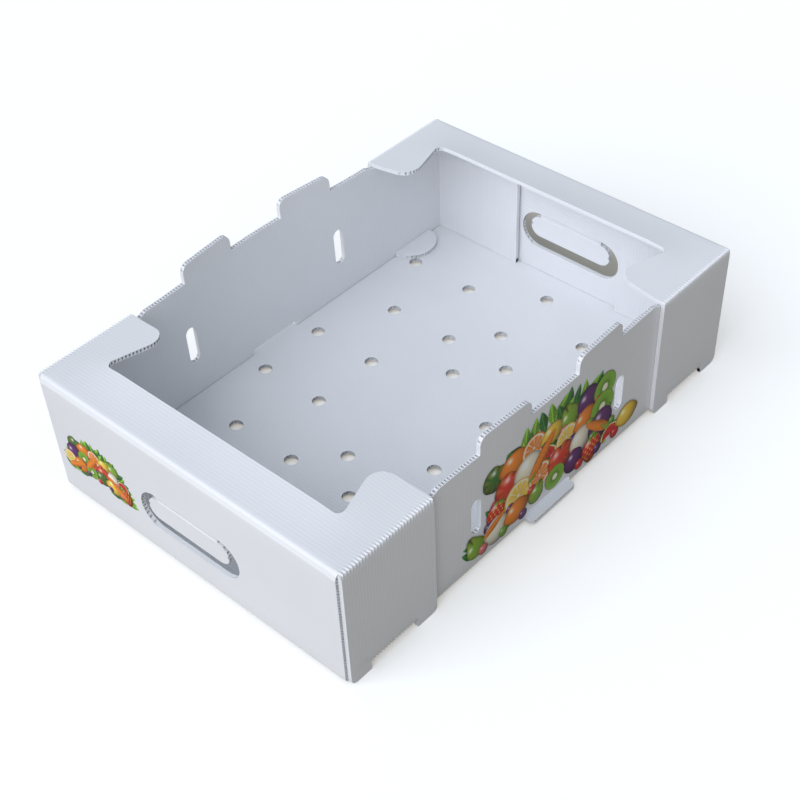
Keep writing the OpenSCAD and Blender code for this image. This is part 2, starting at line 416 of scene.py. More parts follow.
    def _open_flutes(self, flat: Array, rim: Array, ahead: Array) -> dict[str, Array]:
        """Finds the sides of the loops that open a flute.

        A side opens one if its middle lies between two ribs and it runs across the flutes.

        Args:
            flat: flat points of the piece.
            rim: the points along the loops.
            ahead: the place of the next point of the same loop.

        Returns:
            open, for each side; start and stop, the points where such a run begins and ends;
            shift, the way along v that each point is pushed; ahead, the next point of each.
        """
        here, there = flat[rim], flat[rim[ahead]]
        middle_u = (here[:, 0] + there[:, 0]) / 2
        off = np.abs(middle_u - np.round(middle_u / self.board.pitch) * self.board.pitch)
        step = there - here
        across = step[:, 0] / np.maximum(np.hypot(step[:, 0], step[:, 1]), 1e-9)
        opened = (off < (self.board.pitch - self.board.rib) / 2) & (np.abs(across) > self.board.closed_below)
        behind = np.empty(len(ahead), int)
        behind[ahead] = np.arange(len(ahead))
        inward = np.sign(across) * opened
        inward = np.where(opened, inward, inward[behind])
        room = (self.fold_lines[None, :] - here[:, 1, None]) * inward[:, None]
        room = np.where(room > 0.05, room, np.inf).min(axis=1, initial=self.board.open_depth)
        shift = inward * room
        return {
            "open": opened,
            "start": np.flatnonzero(opened & ~opened[behind]),
            "stop": np.flatnonzero(~opened & opened[behind]),
            "shift": shift,
            "ahead": ahead,
        }


def rows_at(u: Array, low: float, high: float) -> Array:
    """Lines along the flutes, one at each u, from v = low to v = high."""
    both = np.stack([u, u], axis=-1)
    return np.stack([both, np.broadcast_to([low, high], both.shape)], axis=-1)


def smooth_step(x: Array) -> Array:
    """0 below 0, 1 above 1, and 3 x^2 - 2 x^3 between."""
    x = np.clip(x, 0, 1)
    return x * x * (3 - 2 * x)


@dataclass
class Layout:
    """Levels and faces that the parts of the tray share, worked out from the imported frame."""

    length: float
    height_over_tabs: float
    board: Board = BOARD
    layer_gap: float = 0.3
    width: float = 342.0
    foot_drop: float = 3.0
    tab_h: float = 17.0
    wall_rise: float = 3.3
    ledge_w: float = 42.0
    wing_l: float = 102.0
    flap_inset: float = 2.6
    tongue_w: float = 52.0
    tongue_l: float = 24.0
    tongue_from_end: float = 52.0
    tongue_play: float = 1.0

    def __post_init__(self) -> None:
        """Works out every face and level from the sizes."""
        t, gap = self.board.thickness, self.layer_gap
        self.base_z = self.foot_drop
        self.floor_z = self.base_z + t
        self.wall_top_z = self.height_over_tabs - self.tab_h
        self.wall_end_z = self.wall_top_z - self.wall_rise
        self.ledge_z = self.wall_end_z + gap
        self.top_z = self.ledge_z + t
        self.tongue_z = self.floor_z + gap
        self.end_out = self.length / 2
        self.end_in = self.end_out - t
        self.corner_in = self.end_in - gap - t
        self.flap_out = self.width / 2
        self.flap_in = self.flap_out - t
        self.wall_out = self.flap_in - gap
        self.wall_in = self.wall_out - t
        self.mouth_x = self.end_out - self.ledge_w
        self.wing_x = self.end_out - self.wing_l
        self.flap_x = self.end_out - self.flap_inset
        self.tongue_x = self.end_out - self.tongue_from_end

    @classmethod
    def from_frame(cls) -> "Layout":
        """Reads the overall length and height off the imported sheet."""
        low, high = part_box("folded_sheet")
        return cls(length=(high[0] - low[0]) / MM, height_over_tabs=(high[2] - low[2]) / MM)


@dataclass
class Tub:
    """Base, long walls and corner flaps, folded from one run of board."""

    layout: Layout
    vent_d: float = 13.0
    vent_dx: float = 35.5
    vent_dy: float = 35.0
    vent_rows: tuple[tuple[int, ...], ...] = ((2, 4), (0,), (1, 3), (0,), (2, 4), (0,))
    tab_w: float = 60.0
    tab_x: float = 61.0
    tab_r: float = 8.0
    slope_gap: float = 2.0
    wall_slope: float = 8.0
    slot_w: float = 12.0
    slot_h: float = 38.0
    slot_x: float = 95.0
    slot_z: float = 36.0
    lug_w: float = 59.0
    lug_out: float = 7.5
    lug_r: float = 4.0
    lug_root: float = 0.6
    notch_h: float = 5.7
    free_y: float = 61.0
    bow_front: float = 3.0
    bow_back: float = 8.0
    stand_off: float = 1.4
    rib_sink: float = 0.45
    groove: float = 2.3
    coarse: float = 12.0
    fold_rows: int = 9

    def __post_init__(self) -> None:
        """Lays out the two sections: base to wall top, and wall to corner flap."""
        at, board = self.layout, self.layout.board
        self.fold_from = at.wall_in - board.inner_radius
        self.fold_to = self.fold_from + board.fold_length
        self.rise = FoldedPath(
            (0.0, at.base_z + board.half), 0.0,
            ((self.fold_from, 0.0), (board.fold_length, QUARTER_TURN), (at.wall_top_z, 0.0)),
        )
        self.corner_from = at.corner_in - board.inner_radius
        self.corner_to = self.corner_from + board.fold_length
        self.turn_in = FoldedPath(
            (0.0, 0.0), 0.0,
            ((self.corner_from, 0.0), (board.fold_length, QUARTER_TURN), (at.wall_in, 0.0)),
        )
        self.free_u = self.corner_to + at.wall_in + board.half - board.fold_radius - self.free_y

    def v_of(self, z: float) -> float:
        """Distance from the middle of the base to height z on a long wall, along the board."""
        return self.fold_to + z - self.layout.floor_z - self.layout.board.inner_radius

    def outline(self) -> Array:
        """Flat outline: a quarter from the end of the base to the middle of a wall's top, mirrored twice."""
        at = self.layout
        top, end = self.v_of(at.wall_top_z), self.v_of(at.wall_end_z)
        low = self.v_of(at.floor_z + at.layer_gap)
        tab_a, tab_b = self.tab_x - self.tab_w / 2, self.tab_x + self.tab_w / 2
        tab_top = top + at.tab_h
        slope_x = at.wing_x - self.slope_gap
        base_end = at.end_in - at.board.inner_radius
        quarter = joined(
            [[base_end, 0], [base_end, at.wall_in - 1], [at.corner_in, at.wall_in - 1]],
            [[at.corner_in, low], [self.free_u, low], [self.free_u, end]],
            [[slope_x, end], [slope_x - self.wall_slope, top], [tab_b, top]],
            arc((tab_b - self.tab_r, tab_top - self.tab_r), self.tab_r, 0, 90),
            arc((tab_a + self.tab_r, tab_top - self.tab_r), self.tab_r, 90, 180),
            [[tab_a, top], [0, top]],
        )
        return mirrored(mirrored(quarter, 0), 1)

    def holes(self) -> list[Array]:
        """Vents, wall slots, slots for the locking tongues and the notches over the lugs."""
        at = self.layout
        made = []
        for column, rows in enumerate(self.vent_rows):
            for row in rows:
                for x, y in {(sx * (column + 1), sy * row) for sx in (-1, 1) for sy in (-1, 1)}:
                    centre = (x * self.vent_dx, y * self.vent_dy)
                    made.append(arc(centre, self.vent_d / 2, 0, 345, 23))
        low, radius = self.v_of(at.floor_z + self.slot_z), self.slot_w / 2
        slot = joined(
            arc((self.slot_x, low + radius), radius, 180, 360, 10),
            arc((self.slot_x, low + self.slot_h - radius), radius, 0, 180, 10),
        )
        room = at.tongue_w / 2 + at.tongue_play
        tongue_low = self.fold_from + 0.75 * at.board.fold_length
        tongue_high = self.v_of(at.tongue_z + at.board.thickness + at.layer_gap)
        tongue = np.array([
            [at.tongue_x - room, tongue_low], [at.tongue_x + room, tongue_low],
            [at.tongue_x + room, tongue_high], [at.tongue_x - room, tongue_high],
        ])
        notch_x = self.lug_w / 2 + at.layer_gap
        notch_top = self.v_of(at.floor_z + self.notch_h)
        notch = mirrored(joined(
            [[0, self.fold_from - self.lug_root], [notch_x, self.fold_from - self.lug_root]],
            arc((notch_x - self.lug_r, notch_top - self.lug_r), self.lug_r, 0, 90, 6),
            [[0, notch_top]],
        ), 0)
        for sy in (-1, 1):
            made.append(notch * [1, sy])
            for sx in (-1, 1):
                made += [slot * [sx, sy], tongue * [sx, sy]]
        return made

    def inner(self) -> Array:
        """Points inside the outline: a coarse lattice, and close rows through each fold."""
        at, pitch = self.layout, self.layout.board.pitch
        top = self.v_of(at.wall_top_z) + at.tab_h
        across = np.arange(-self.corner_from, self.corner_from + 1, pitch / 2)
        flat_u = np.linspace(-self.free_u, self.free_u, round(2 * self.free_u / self.coarse))
        flat_v = np.linspace(-top, top, round(2 * top / self.coarse))
        rows = np.linspace(self.fold_from, self.fold_to, self.fold_rows)
        turns = np.linspace(self.corner_from, self.corner_to, self.fold_rows)
        flat_v = clear_of(flat_v, self.fold_from, self.fold_to)
        flat_u = clear_of(flat_u, self.corner_from, self.corner_to)
        wall_v = flat_v[np.abs(flat_v) > self.fold_to]
        return np.concatenate([
            lattice(flat_u, flat_v), lattice(across, rows), lattice(across, -rows),
            lattice(turns, wall_v), lattice(-turns, wall_v),
        ])

    def corner_rows(self) -> Array:
        """Lines through the folds of the corner flaps, which run along the flutes."""
        at = self.layout
        turns = np.linspace(self.corner_from, self.corner_to, self.fold_rows)
        rim = at.board.rim
        low, high = self.v_of(at.floor_z + at.layer_gap) + rim, self.v_of(at.wall_end_z) - rim
        one = np.concatenate([rows_at(turns, low, high), rows_at(-turns, low, high)])
        return np.concatenate([one, one * [1, -1]])

    def place(self, u: Array, v: Array, w: Array) -> Array:
        """Folds flat points.

        The base and the wall follow one section, and the wall beyond its corner line follows the
        other. A wall then bows out by bow * cos^2 of its length and the 1.3th power of its height,
        and a corner flap's free edge stands off its end wall with the square of the distance.

        Args:
            u: flat coordinate across the flutes.
            v: flat coordinate along the flutes.
            w: height in the thickness.

        Returns:
            Places of the points, in millimetres.
        """
        at, board = self.layout, self.layout.board
        side, way = np.where(v < 0, -1.0, 1.0), np.where(u < 0, -1.0, 1.0)
        w = w + self._sink(u, np.abs(v), w)
        y, z = self.rise.place(np.abs(v), w)
        x = u.copy()
        wall = np.abs(v) > self.fold_to - 1e-6
        turned_x, turned_b = self.turn_in.place(np.abs(u), w)
        flap = np.clip((np.abs(u) - self.corner_to) / (self.free_u - self.corner_to), 0, 1)
        x = np.where(wall, way * (turned_x - self.stand_off * flap**2), x)
        y = np.where(wall, at.wall_in + board.half - turned_b, y)
        reach = at.wing_x - self.slope_gap
        bulge = np.cos(np.clip(x / reach, -1, 1) * QUARTER_TURN) ** 2
        height = np.clip((z - at.floor_z) / (at.wall_top_z - at.floor_z), 0, 1.2)
        bow = np.where(side < 0, self.bow_front, self.bow_back)
        y = y + np.where(wall, bow * bulge * height**1.3, 0.0)
        return np.stack([x, side * y, z], axis=-1)

    def on_front(self, across: Array, up: Array, lift: Array) -> tuple[Array, Array]:
        """Flat coordinates and places of points on the outside of the front wall, lifted off it."""
        v = -self.v_of(up)
        return np.stack([across, v], axis=-1), self.place(across, v, -self.layout.board.half - lift)

    def _sink(self, u: Array, along: Array, w: Array) -> Array:
        """How far the skins sink in the fold: the outer one between two ribs, the inner one in a groove."""
        board = self.layout.board
        share = np.clip((along - self.fold_from) / board.fold_length, 0, 1)
        between = 0.5 + 0.5 * np.cos(2 * math.pi * u / board.pitch)
        return np.sin(math.pi * share) * np.where(w < 0, self.rib_sink * between, -self.groove)

    def build(self) -> bpy.types.Object:
        """Cuts and folds the tub."""
        folds = np.outer([-1, 1], [self.fold_from, self.fold_to]).ravel()
        cut = DieCut(self.outline(), self.holes(), self.inner(), folds, self.corner_rows())
        made = cut.fold("base_and_long_walls", self.place)
        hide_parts("folded_sheet")
        return made

    def build_lug(self, side: int) -> bpy.types.Object:
        """Cuts the locating lug that stays flat with the base.

        Args:
            side: -1 for the front of the tray, 1 for the back.

        Returns:
            The lug.
        """
        at = self.layout
        x, out = self.lug_w / 2, at.wall_out + self.lug_out
        half = joined([[0, self.fold_from - self.lug_root], [x, self.fold_from - self.lug_root]],
                      arc((x - self.lug_r, out - self.lug_r), self.lug_r, 0, 90), [[0, out]])
        outline = mirrored(half, 0) * [1, side]
        level = at.base_z + at.board.half

        def place(u: Array, v: Array, w: Array) -> Array:
            """Lays the flat points at the level of the base."""
            return np.stack([u, v, level + w], axis=-1)

        return DieCut(outline).fold("front_lug" if side < 0 else "back_lug", place)


@dataclass
class EndFrame:
    """End wall, ledge, wings, side flaps and locking tongues of one end, folded from one run of board.

    way is 1 for the far end and -1 for the near one. bend_share is the part of the bevel's height
    that its two bends take up.
    """

    layout: Layout
    way: int
    bevel_h: float = 6.0
    bevel_d: float = 2.3
    wing_lean: float = 2.0
    crest_reach: float = 50.0
    wing_r: float = 15.0
    mouth_dip: float = 10.0
    mouth_r: float = 6.0
    foot_r: float = 7.0
    handle_w: float = 115.0
    handle_h: float = 39.5
    handle_z: float = 31.0
    lift: float = 4.0
    rib_sink: float = 0.65
    rib_reach: float = 2.8
    groove: float = 1.2
    coarse: float = 12.0
    fold_rows: int = 9
    rib_rows: int = 17
    wing_margin: float = 4.0
    bend_share: float = 3.2

    def __post_init__(self) -> None:
        """Lays out the sections: base to ledge, ledge to foot, and ledge to tongue."""
        at, board = self.layout, self.layout.board
        first = math.atan2(self.bevel_d, self.bevel_h)
        bends = (
            (board.fold_radius * 2 * first, first), (self.bevel_h - self.bend_share, 0.0),
            (board.fold_radius * (QUARTER_TURN - first), QUARTER_TURN - first),
        )
        start = (at.end_in - board.inner_radius, at.base_z + board.half)
        legs = ((board.fold_length, QUARTER_TURN), (1.0, 0.0), *bends, (at.length, 0.0))
        trial = FoldedPath(start, 0.0, legs)
        ledge_from = sum(length for length, _ in legs[:-1])
        _, reached = trial.place(np.array([ledge_from]), np.zeros(1))
        wall = 1.0 + at.ledge_z + board.half - reached[0]
        self.upright = FoldedPath(start, 0.0, ((legs[0]), (wall, 0.0), *bends, legs[-1]))
        self.wall_from = board.fold_length
        self.bevel_from = self.wall_from + wall
        self.ledge_from = self.bevel_from + sum(length for length, _ in bends)
        self.ledge_x = self.upright.place(np.array([self.ledge_from]), np.zeros(1))[0][0]
        self.wing_from = at.flap_in - board.inner_radius
        self.wing_to = self.wing_from + board.fold_length
        self.tongue_from = self.v_of(at.tongue_z + board.thickness + board.inner_radius)
        self.tongue_to = self.tongue_from + board.fold_length
        fold = (board.fold_length, QUARTER_TURN)
        drop = self.tongue_from - self.wing_to
        start = (0.0, 0.0)
        self.to_foot = FoldedPath(start, 0.0, ((self.wing_from, 0.0), fold, (at.top_z, 0.0)))
        self.to_tongue = FoldedPath(
            start, 0.0, ((self.wing_from, 0.0), fold, (drop, 0.0), fold, (at.tongue_l * 2, 0.0)))

    def u_of_z(self, z: float) -> float:
        """Distance along the section to height z on the end wall."""
        return self.wall_from + z - self.layout.floor_z - self.layout.board.inner_radius

    def u_of_x(self, x: float) -> float:
        """Distance along the section to the place x on the ledge."""
        return self.ledge_from + self.ledge_x - x

    def v_of(self, z: float) -> float:
        """Distance from the middle of the ledge to height z on a side flap, along the board."""
        at = self.layout
        return self.wing_to + at.ledge_z - at.board.inner_radius - z

    def outline(self) -> Array:
        """Flat outline: end wall, side flap with its feet and tongue, wing and ledge, mirrored once."""
        at = self.layout
        foot = self.v_of(0.0)
        room = at.tongue_w / 2 + at.tongue_play
        flap_u, wing_u = self.u_of_x(at.flap_x), self.u_of_x(at.wing_x)
        mid_u = self.u_of_x(at.tongue_x)
        reach = self.tongue_to + at.flap_in - at.wall_in - at.board.inner_radius
        angle = np.linspace(0, math.pi, 25)
        tongue = np.stack([
            mid_u - at.tongue_w / 2 * np.cos(angle), reach + at.tongue_l * np.sin(angle)], axis=-1)
        half = joined(
            [[0, 0], [0, at.wall_out], [flap_u, at.wall_out]],
            arc((flap_u + self.foot_r, foot - self.foot_r), self.foot_r, 180, 90),
            [[mid_u - room, foot], [mid_u - room, self.tongue_from]],
            [[mid_u - at.tongue_w / 2, self.tongue_from]], tongue,
            [[mid_u + at.tongue_w / 2, self.tongue_from], [mid_u + room, self.tongue_from]],
            [[mid_u + room, foot]],
            arc((wing_u - self.foot_r, foot - self.foot_r), self.foot_r, 90, 0),
            self._wing(),
            [[self.u_of_x(at.mouth_x), 0]],
        )
        return mirrored(half, 1)

    def _wing(self) -> Array:
        """Free edge of a wing: round its tip, along the slope and round the mouth's corner."""
        at = self.layout
        crest = at.flap_out - self.crest_reach
        tip = np.array([at.wing_x + self.wing_lean + self.wing_r, crest + self.wing_r])
        hollow = np.array([at.mouth_x - self.mouth_r, crest + self.mouth_dip - self.mouth_r])
        apart = tip - hollow
        turn = math.degrees(math.atan2(apart[1], apart[0])
                            - math.acos((self.wing_r + self.mouth_r) / np.hypot(*apart)))
        edge = joined(
            [[at.wing_x, at.flap_in]], arc(tuple(tip), self.wing_r, 180, 180 + turn),
            arc(tuple(hollow), self.mouth_r, turn, 0),
        )
        return np.stack([self.u_of_x(edge[:, 0]), edge[:, 1]], axis=-1)

    def handle(self) -> Array:
        """Handle hole, with half-round ends."""
        at, radius = self.layout, self.handle_h / 2
        u = self.u_of_z(at.base_z + self.handle_z + radius)
        v = self.handle_w / 2 - radius
        return joined(arc((u, v), radius, 0, 180, 20), arc((u, -v), radius, 180, 360, 20))

    def inner(self) -> Array:
        """Points inside the outline: a coarse lattice, and close rows through each fold."""
        at, pitch = self.layout, self.layout.board.pitch
        far_u, far_v = self.u_of_x(at.wing_x), self.v_of(0.0)
        flat_u = np.linspace(0, far_u, round(far_u / self.coarse))
        flat_v = np.linspace(-far_v, far_v, round(2 * far_v / self.coarse))
        close_v = np.linspace(-at.wall_out, at.wall_out, round(2 * at.wall_out / self.coarse))
        flat_u = clear_of(clear_of(flat_u, 0, self.wall_from), self.bevel_from, self.ledge_from)
        for start in (self.wing_from, self.tongue_from):
            flat_v = clear_of(flat_v, start - self.rib_reach, start + at.board.fold_length + self.rib_reach)
        first = np.linspace(0, self.wall_from, self.fold_rows)
        bevel = np.linspace(self.bevel_from, self.ledge_from, 2 * self.fold_rows)
        low = math.ceil(self.u_of_x(at.flap_x) / pitch) * pitch
        over = np.arange(low, far_u, pitch / 4)
        margin = self.wing_margin
        wing = np.linspace(self.wing_from - margin, self.wing_to + margin, self.rib_rows)
        mid_u = self.u_of_x(at.tongue_x)
        under = over[np.abs(over - mid_u) < at.tongue_w / 2 - 0.3]
        tongue = np.linspace(self.tongue_from - margin, self.tongue_to, self.rib_rows)
        return np.concatenate([
            lattice(flat_u, flat_v), lattice(first, close_v), lattice(bevel, close_v),
            lattice(over, wing), lattice(over, -wing), lattice(under, tongue), lattice(under, -tongue),
        ])

    def wall_rows(self) -> Array:
        """Lines through the folds at the foot and at the top of the end wall, which run along the flutes."""
        first = np.linspace(0, self.wall_from, self.fold_rows)[1:]
        bevel = np.linspace(self.bevel_from, self.ledge_from, 2 * self.fold_rows)
        reach = self.layout.wall_out - self.layout.board.rim
        return rows_at(np.concatenate([first, bevel]), -reach, reach)

    def place(self, u: Array, v: Array, w: Array) -> Array:
        """Folds flat points.

        The end wall and the ledge follow one section. Beyond the end wall's side the board follows
        the section of the side flap, or under the tongue's slot that of the tongue. The free edge
        of the ledge springs up with the square of its distance from the bevel, less at the wings.

        Args:
            u: flat coordinate across the flutes.
            v: flat coordinate along the flutes.
            w: height in the thickness.

        Returns:
            Places of the points, in millimetres.
        """
        at = self.layout
        side, out = np.where(v < 0, -1.0, 1.0), np.abs(v)
        tongue = (np.abs(u - self.u_of_x(at.tongue_x)) < at.tongue_w / 2 + at.tongue_play / 2)
        w = w + self._sink(u, out, w, tongue)
        x, z = self.upright.place(u, w)
        foot_y, foot_b = self.to_foot.place(out, w)
        tongue_y, tongue_b = self.to_tongue.place(out, w)
        flap = out > at.wall_out + 1e-6
        bent = flap & tongue & (out > self.tongue_from)
        y = np.where(flap, np.where(bent, tongue_y, foot_y), out)
        level = at.ledge_z + at.board.half
        z = np.where(flap, level - np.where(bent, tongue_b, foot_b), z)
        x = np.where(flap, self.ledge_x + self.ledge_from - u, x)
        inside = np.clip((self.ledge_x - x) / (self.ledge_x - at.mouth_x), 0, 1.15)
        held = smooth_step((at.flap_in - out) / (self.crest_reach + self.mouth_dip))
        z = z + np.where(u > self.ledge_from, self.lift * inside**1.5 * held, 0.0)
        return np.stack([self.way * x, side * y, z], axis=-1)

    def on_outside(self, across: Array, up: Array, lift: Array) -> tuple[Array, Array]:
        """Flat coordinates and places of points on the outside of the end wall, lifted off it."""
        u, v = self.u_of_z(up), self.way * across
        return np.stack([u, v], axis=-1), self.place(u, v, -self.layout.board.half - lift)

    def _sink(self, u: Array, out: Array, w: Array, tongue: Array) -> Array:
        """How far the outer skin sinks in a fold.

        Between two ribs it sinks by a bell curve of the distance from the fold's middle. On a rib
        it stands out towards the sharp corner, which lies radius / max(cos, sin) of the turn away.
        The inner skin sinks in the fold at the foot of the end wall.
        """
        board = self.layout.board
        between = 0.5 + 0.5 * np.cos(2 * math.pi * u / board.pitch)
        depth = np.zeros(len(u))
        for start, here in ((self.wing_from, True), (self.tongue_from, tongue)):
            share = (out - start) / board.fold_length
            bell = np.exp(-((share - 0.5) * board.fold_length / self.rib_reach) ** 2)
            turn = np.clip(share, 0, 1) * QUARTER_TURN
            sharp = (board.fold_radius + board.half) * (1 / np.maximum(np.cos(turn), np.sin(turn)) - 1)
            depth += np.where(here, self.rib_sink * between * bell - 0.8 * (1 - between) * sharp, 0.0)
        foot = np.clip(u / self.wall_from, 0, 1)
        return np.where(w < 0, depth, -self.groove * np.sin(math.pi * foot))

    def build(self) -> bpy.types.Object:
        """Cuts and folds the end."""
        name = "far_end_and_ledge" if self.way > 0 else "near_end_and_ledge"
        folds = [self.wing_from, self.wing_to, self.tongue_from, self.tongue_to]
        folds = np.outer([-1, 1], folds).ravel()
        cut = DieCut(self.outline(), [self.handle()], self.inner(), folds, self.wall_rows())
        return cut.fold(name, self.place, self.way < 0)


@dataclass
class FingerFlap:
    """Flap cut free in a handle hole, which hangs in the plane of the end wall.

    way is 1 for the far end and -1 for the near one.
    """

    layout: Layout
    way: int
    handle: EndFrame
    end_r: float = 11.0
    side_gap: float = 10.5
    low_gap: float = 13.5
    crease_gap: float = 3.2
    crease_depth: float = 0.5

    def build(self) -> bpy.types.Object:
        """Cuts the flap and presses its crease."""
        at = self.layout
        low = at.base_z + self.handle.handle_z + self.low_gap
        top = at.base_z + self.handle.handle_z + self.handle.handle_h - at.layer_gap
        neck = self.handle.handle_w / 2 - self.side_gap - self.end_r
        shoulder = low + self.end_r
        half = joined(
            [[low, 0]], arc((shoulder, neck), self.end_r, 180, 0, 16), [[top, neck], [top, 0]])
        crease = top - self.crease_gap
        wide = neck + self.end_r
        rows = np.concatenate([
            lattice(crease + np.linspace(-1.2, 1.2, 13), np.linspace(-neck, neck, 25)),
            lattice(np.arange(low + 2, crease - 2, 3), np.linspace(-wide, wide, 35)),
        ])
        cut = DieCut(mirrored(half, 1), [], rows)
        middle = at.end_in + at.board.half

        def place(u: Array, v: Array, w: Array) -> Array:
            """Stands the flat points upright, and dents both skins by a bell curve along the crease."""
            dent = self.crease_depth * np.exp(-((u - crease) / 0.5) ** 2) * smooth_step((neck - np.abs(v)) / 4)
            w = w - np.sign(w) * dent * (np.abs(w) > at.board.half - 0.1)
            return np.stack([self.way * (middle - w), v, u], axis=-1)

        name = "far_finger_board" if self.way > 0 else "near_finger_board"
        made = cut.fold(name, place, self.way < 0)
        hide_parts("far_finger_flap" if self.way > 0 else "near_finger_flap")
        return made


Ink = tuple[float, float, float]
RED, ORANGE, YELLOW, PURPLE = (0.70, 0.03, 0.03), (0.90, 0.26, 0.03), (0.93, 0.62, 0.08), (0.13, 0.03, 0.16)
GREEN, LEAF_GREEN, PINK, CREAM = (0.20, 0.42, 0.04), (0.03, 0.16, 0.03), (0.78, 0.20, 0.20), (0.90, 0.84, 0.68)

WIDEST = 1.35  # the farthest that any motif's outline reaches, as a share of its size


class Motif(Enum):
    """Kinds of printed motif: the rings and the steps that each is drawn with, and its name."""

    CITRUS = (16, 80, "citrus")
    KIWI = (14, 72, "kiwi")
    MELON = (14, 64, "melon")
    APPLE = (10, 44, "apple")
    PEAR = (10, 44, "pear")
    LEMON = (10, 44, "lemon")
    STRAWBERRY = (14, 56, "strawberry")
    PLUM = (8, 36, "plum")
    BERRY = (6, 22, "berry")
    CARROT = (12, 60, "carrot")
    LEAF = (10, 40, "leaf")


@dataclass(frozen=True)
class Printed:
    """One printed motif in the coordinates of its wall: across it and up it, in millimetres."""

    kind: Motif
    across: float
    up: float
    size: float
    turn: float = 0.0
    ink: Ink = RED

    def reach(self, angle: Array) -> Array:
        """Outline: distance from the middle at each angle, as a share of the size.

        A leaf is the curve |x|^1.3 + |y / 0.4|^1.3 = 1, a carrot a narrow ellipse that tapers, a
        melon wedge a half disc about its own middle, and the rest are circles with bell curves of
        the angle added.
        """
        cos, sin = np.cos(angle), np.sin(angle)

        def bell(at: float, width: float) -> Array:
            """exp(-(d / width)^2) of the angle d from the given one."""
            off = np.mod(angle - at + math.pi, 2 * math.pi) - math.pi
            return np.exp(-((off / width) ** 2))

        if self.kind is Motif.LEAF:
            return (np.abs(cos) ** 1.3 + np.abs(sin / 0.4) ** 1.3) ** (-1 / 1.3)
        if self.kind is Motif.CARROT:
            return (1 - 0.14 * cos) * 0.24 / np.hypot(0.24 * cos, sin)
        if self.kind is Motif.MELON:
            flat = np.where(sin < -1e-3, -0.42 / np.minimum(sin, -1e-3), np.inf)
            return np.minimum(flat, -0.42 * sin + np.sqrt(np.maximum(1 - (0.42 * cos) ** 2, 0)))
        if self.kind is Motif.APPLE:
            return 1 - 0.16 * bell(math.pi / 2, 0.3) - 0.06 * bell(-math.pi / 2, 0.3)
        if self.kind is Motif.PEAR:
            return 0.82 + 0.5 * bell(math.pi / 2, 0.48)
        if self.kind is Motif.LEMON:
            return 0.86 / np.hypot(cos * 0.86, sin) + 0.16 * np.abs(cos) ** 18
        if self.kind is Motif.STRAWBERRY:
            return 0.86 + 0.26 * bell(-math.pi / 2, 0.5) - 0.06 * bell(math.pi / 2, 0.3)
        return np.ones_like(angle)

    def inks(self, share: Array, angle: Array) -> Array:
        """Colour at each point.

        A whole fruit is its ink, lit from the upper left and darker at its rim, with a small
        bright spot. A slice has rings of rind and pith, and its flesh is parted by the angle.

        Args:
            share: distance from the middle as a share of the outline's.
            angle: angle of the point.

        Returns:
            Red, green and blue of each point.
        """
        reach = share * self.reach(angle)
        x, y = reach * np.cos(angle), reach * np.sin(angle)
        ink = np.broadcast_to(self.ink, (len(share), 3))
        light = np.clip(1.1 - 0.42 * ((x + 0.35) ** 2 + (y - 0.35) ** 2), 0.35, 1.1)
        light = light * (1 - 0.45 * smooth_step((share - 0.8) / 0.2))
        spot = 0.75 * np.exp(-((x + 0.36) ** 2 + (y - 0.4) ** 2) / 0.025)
        if self.kind is Motif.CITRUS:
            off = np.abs(np.mod(angle * 5 / math.pi, 1) - 0.5) * 2
            flesh = (share < 0.8) & (share > 0.1) & (off < 0.82)
            ink = np.where(flesh[:, None], ink * (0.8 + 0.3 * share[:, None]), CREAM)
            ink = np.where(share[:, None] > 0.9, np.array(self.ink) * 0.85, ink)
            light, spot = np.ones(len(share)), 0 * spot
        elif self.kind is Motif.KIWI:
            seed = (np.abs(share - 0.42) < 0.08) & (np.cos(18 * angle) > 0.5)
            ink = np.where(share[:, None] < 0.24, CREAM, ink * (0.7 + 0.5 * share[:, None]))
            ink = np.where(seed[:, None], (0.02, 0.02, 0.01), ink)
            ink = np.where(share[:, None] > 0.93, (0.16, 0.09, 0.03), ink)
            light, spot = np.ones(len(share)), 0 * spot
        elif self.kind is Motif.MELON:
            out = np.hypot(x, y + 0.42)[:, None]
            seed = (np.sin(13 * x) * np.sin(13 * y + 1) > 0.72)[:, None] & (out < 0.72)
            ink = np.where(seed, (0.03, 0.01, 0.01), ink)
            ink = np.where(out > 0.8, (0.75, 0.80, 0.45), ink)
            ink = np.where(out > 0.9, LEAF_GREEN, ink)
            light, spot = np.ones(len(share)), 0 * spot
        elif self.kind is Motif.STRAWBERRY:
            seed = (np.sin(15 * x) * np.sin(15 * y) > 0.6)[:, None]
            ink = np.where(seed, YELLOW, ink)
            ink = np.where((y > 0.56 + 0.14 * np.cos(11 * x))[:, None], GREEN, ink)
        elif self.kind is Motif.LEAF:
            vein = (np.abs(y) < 0.035) | (np.mod(5 * (x - 1.1 * np.abs(y)), 1) < 0.13)
            ink = np.where(vein[:, None], ink * 1.9 + 0.02, ink)
            light, spot = 1.0 - 0.35 * (y < 0), 0 * spot
        elif self.kind is Motif.CARROT:
            ring = (np.mod(6 * x + np.abs(y), 1) < 0.1)[:, None]
            ink = np.where(ring, ink * 0.7, ink)
            ink = np.where((x < -0.98)[:, None], GREEN, ink)
            light, spot = np.clip(1.05 - 9 * (y - 0.05) ** 2, 0.5, 1.05), 0 * spot
        elif self.kind in (Motif.APPLE, Motif.PEAR):
            streak = (0.5 + 0.5 * np.sin(9 * angle + 3 * share))[:, None] * 0.3 * share[:, None]
            ink = ink * (1 - streak) + np.array(YELLOW) * streak
            stalk = (np.abs(x) < 0.05) & (y > 0.55)
            ink = np.where(stalk[:, None], (0.10, 0.05, 0.02), ink)
        return np.clip(ink * light[:, None] + spot[:, None], 0, 1)


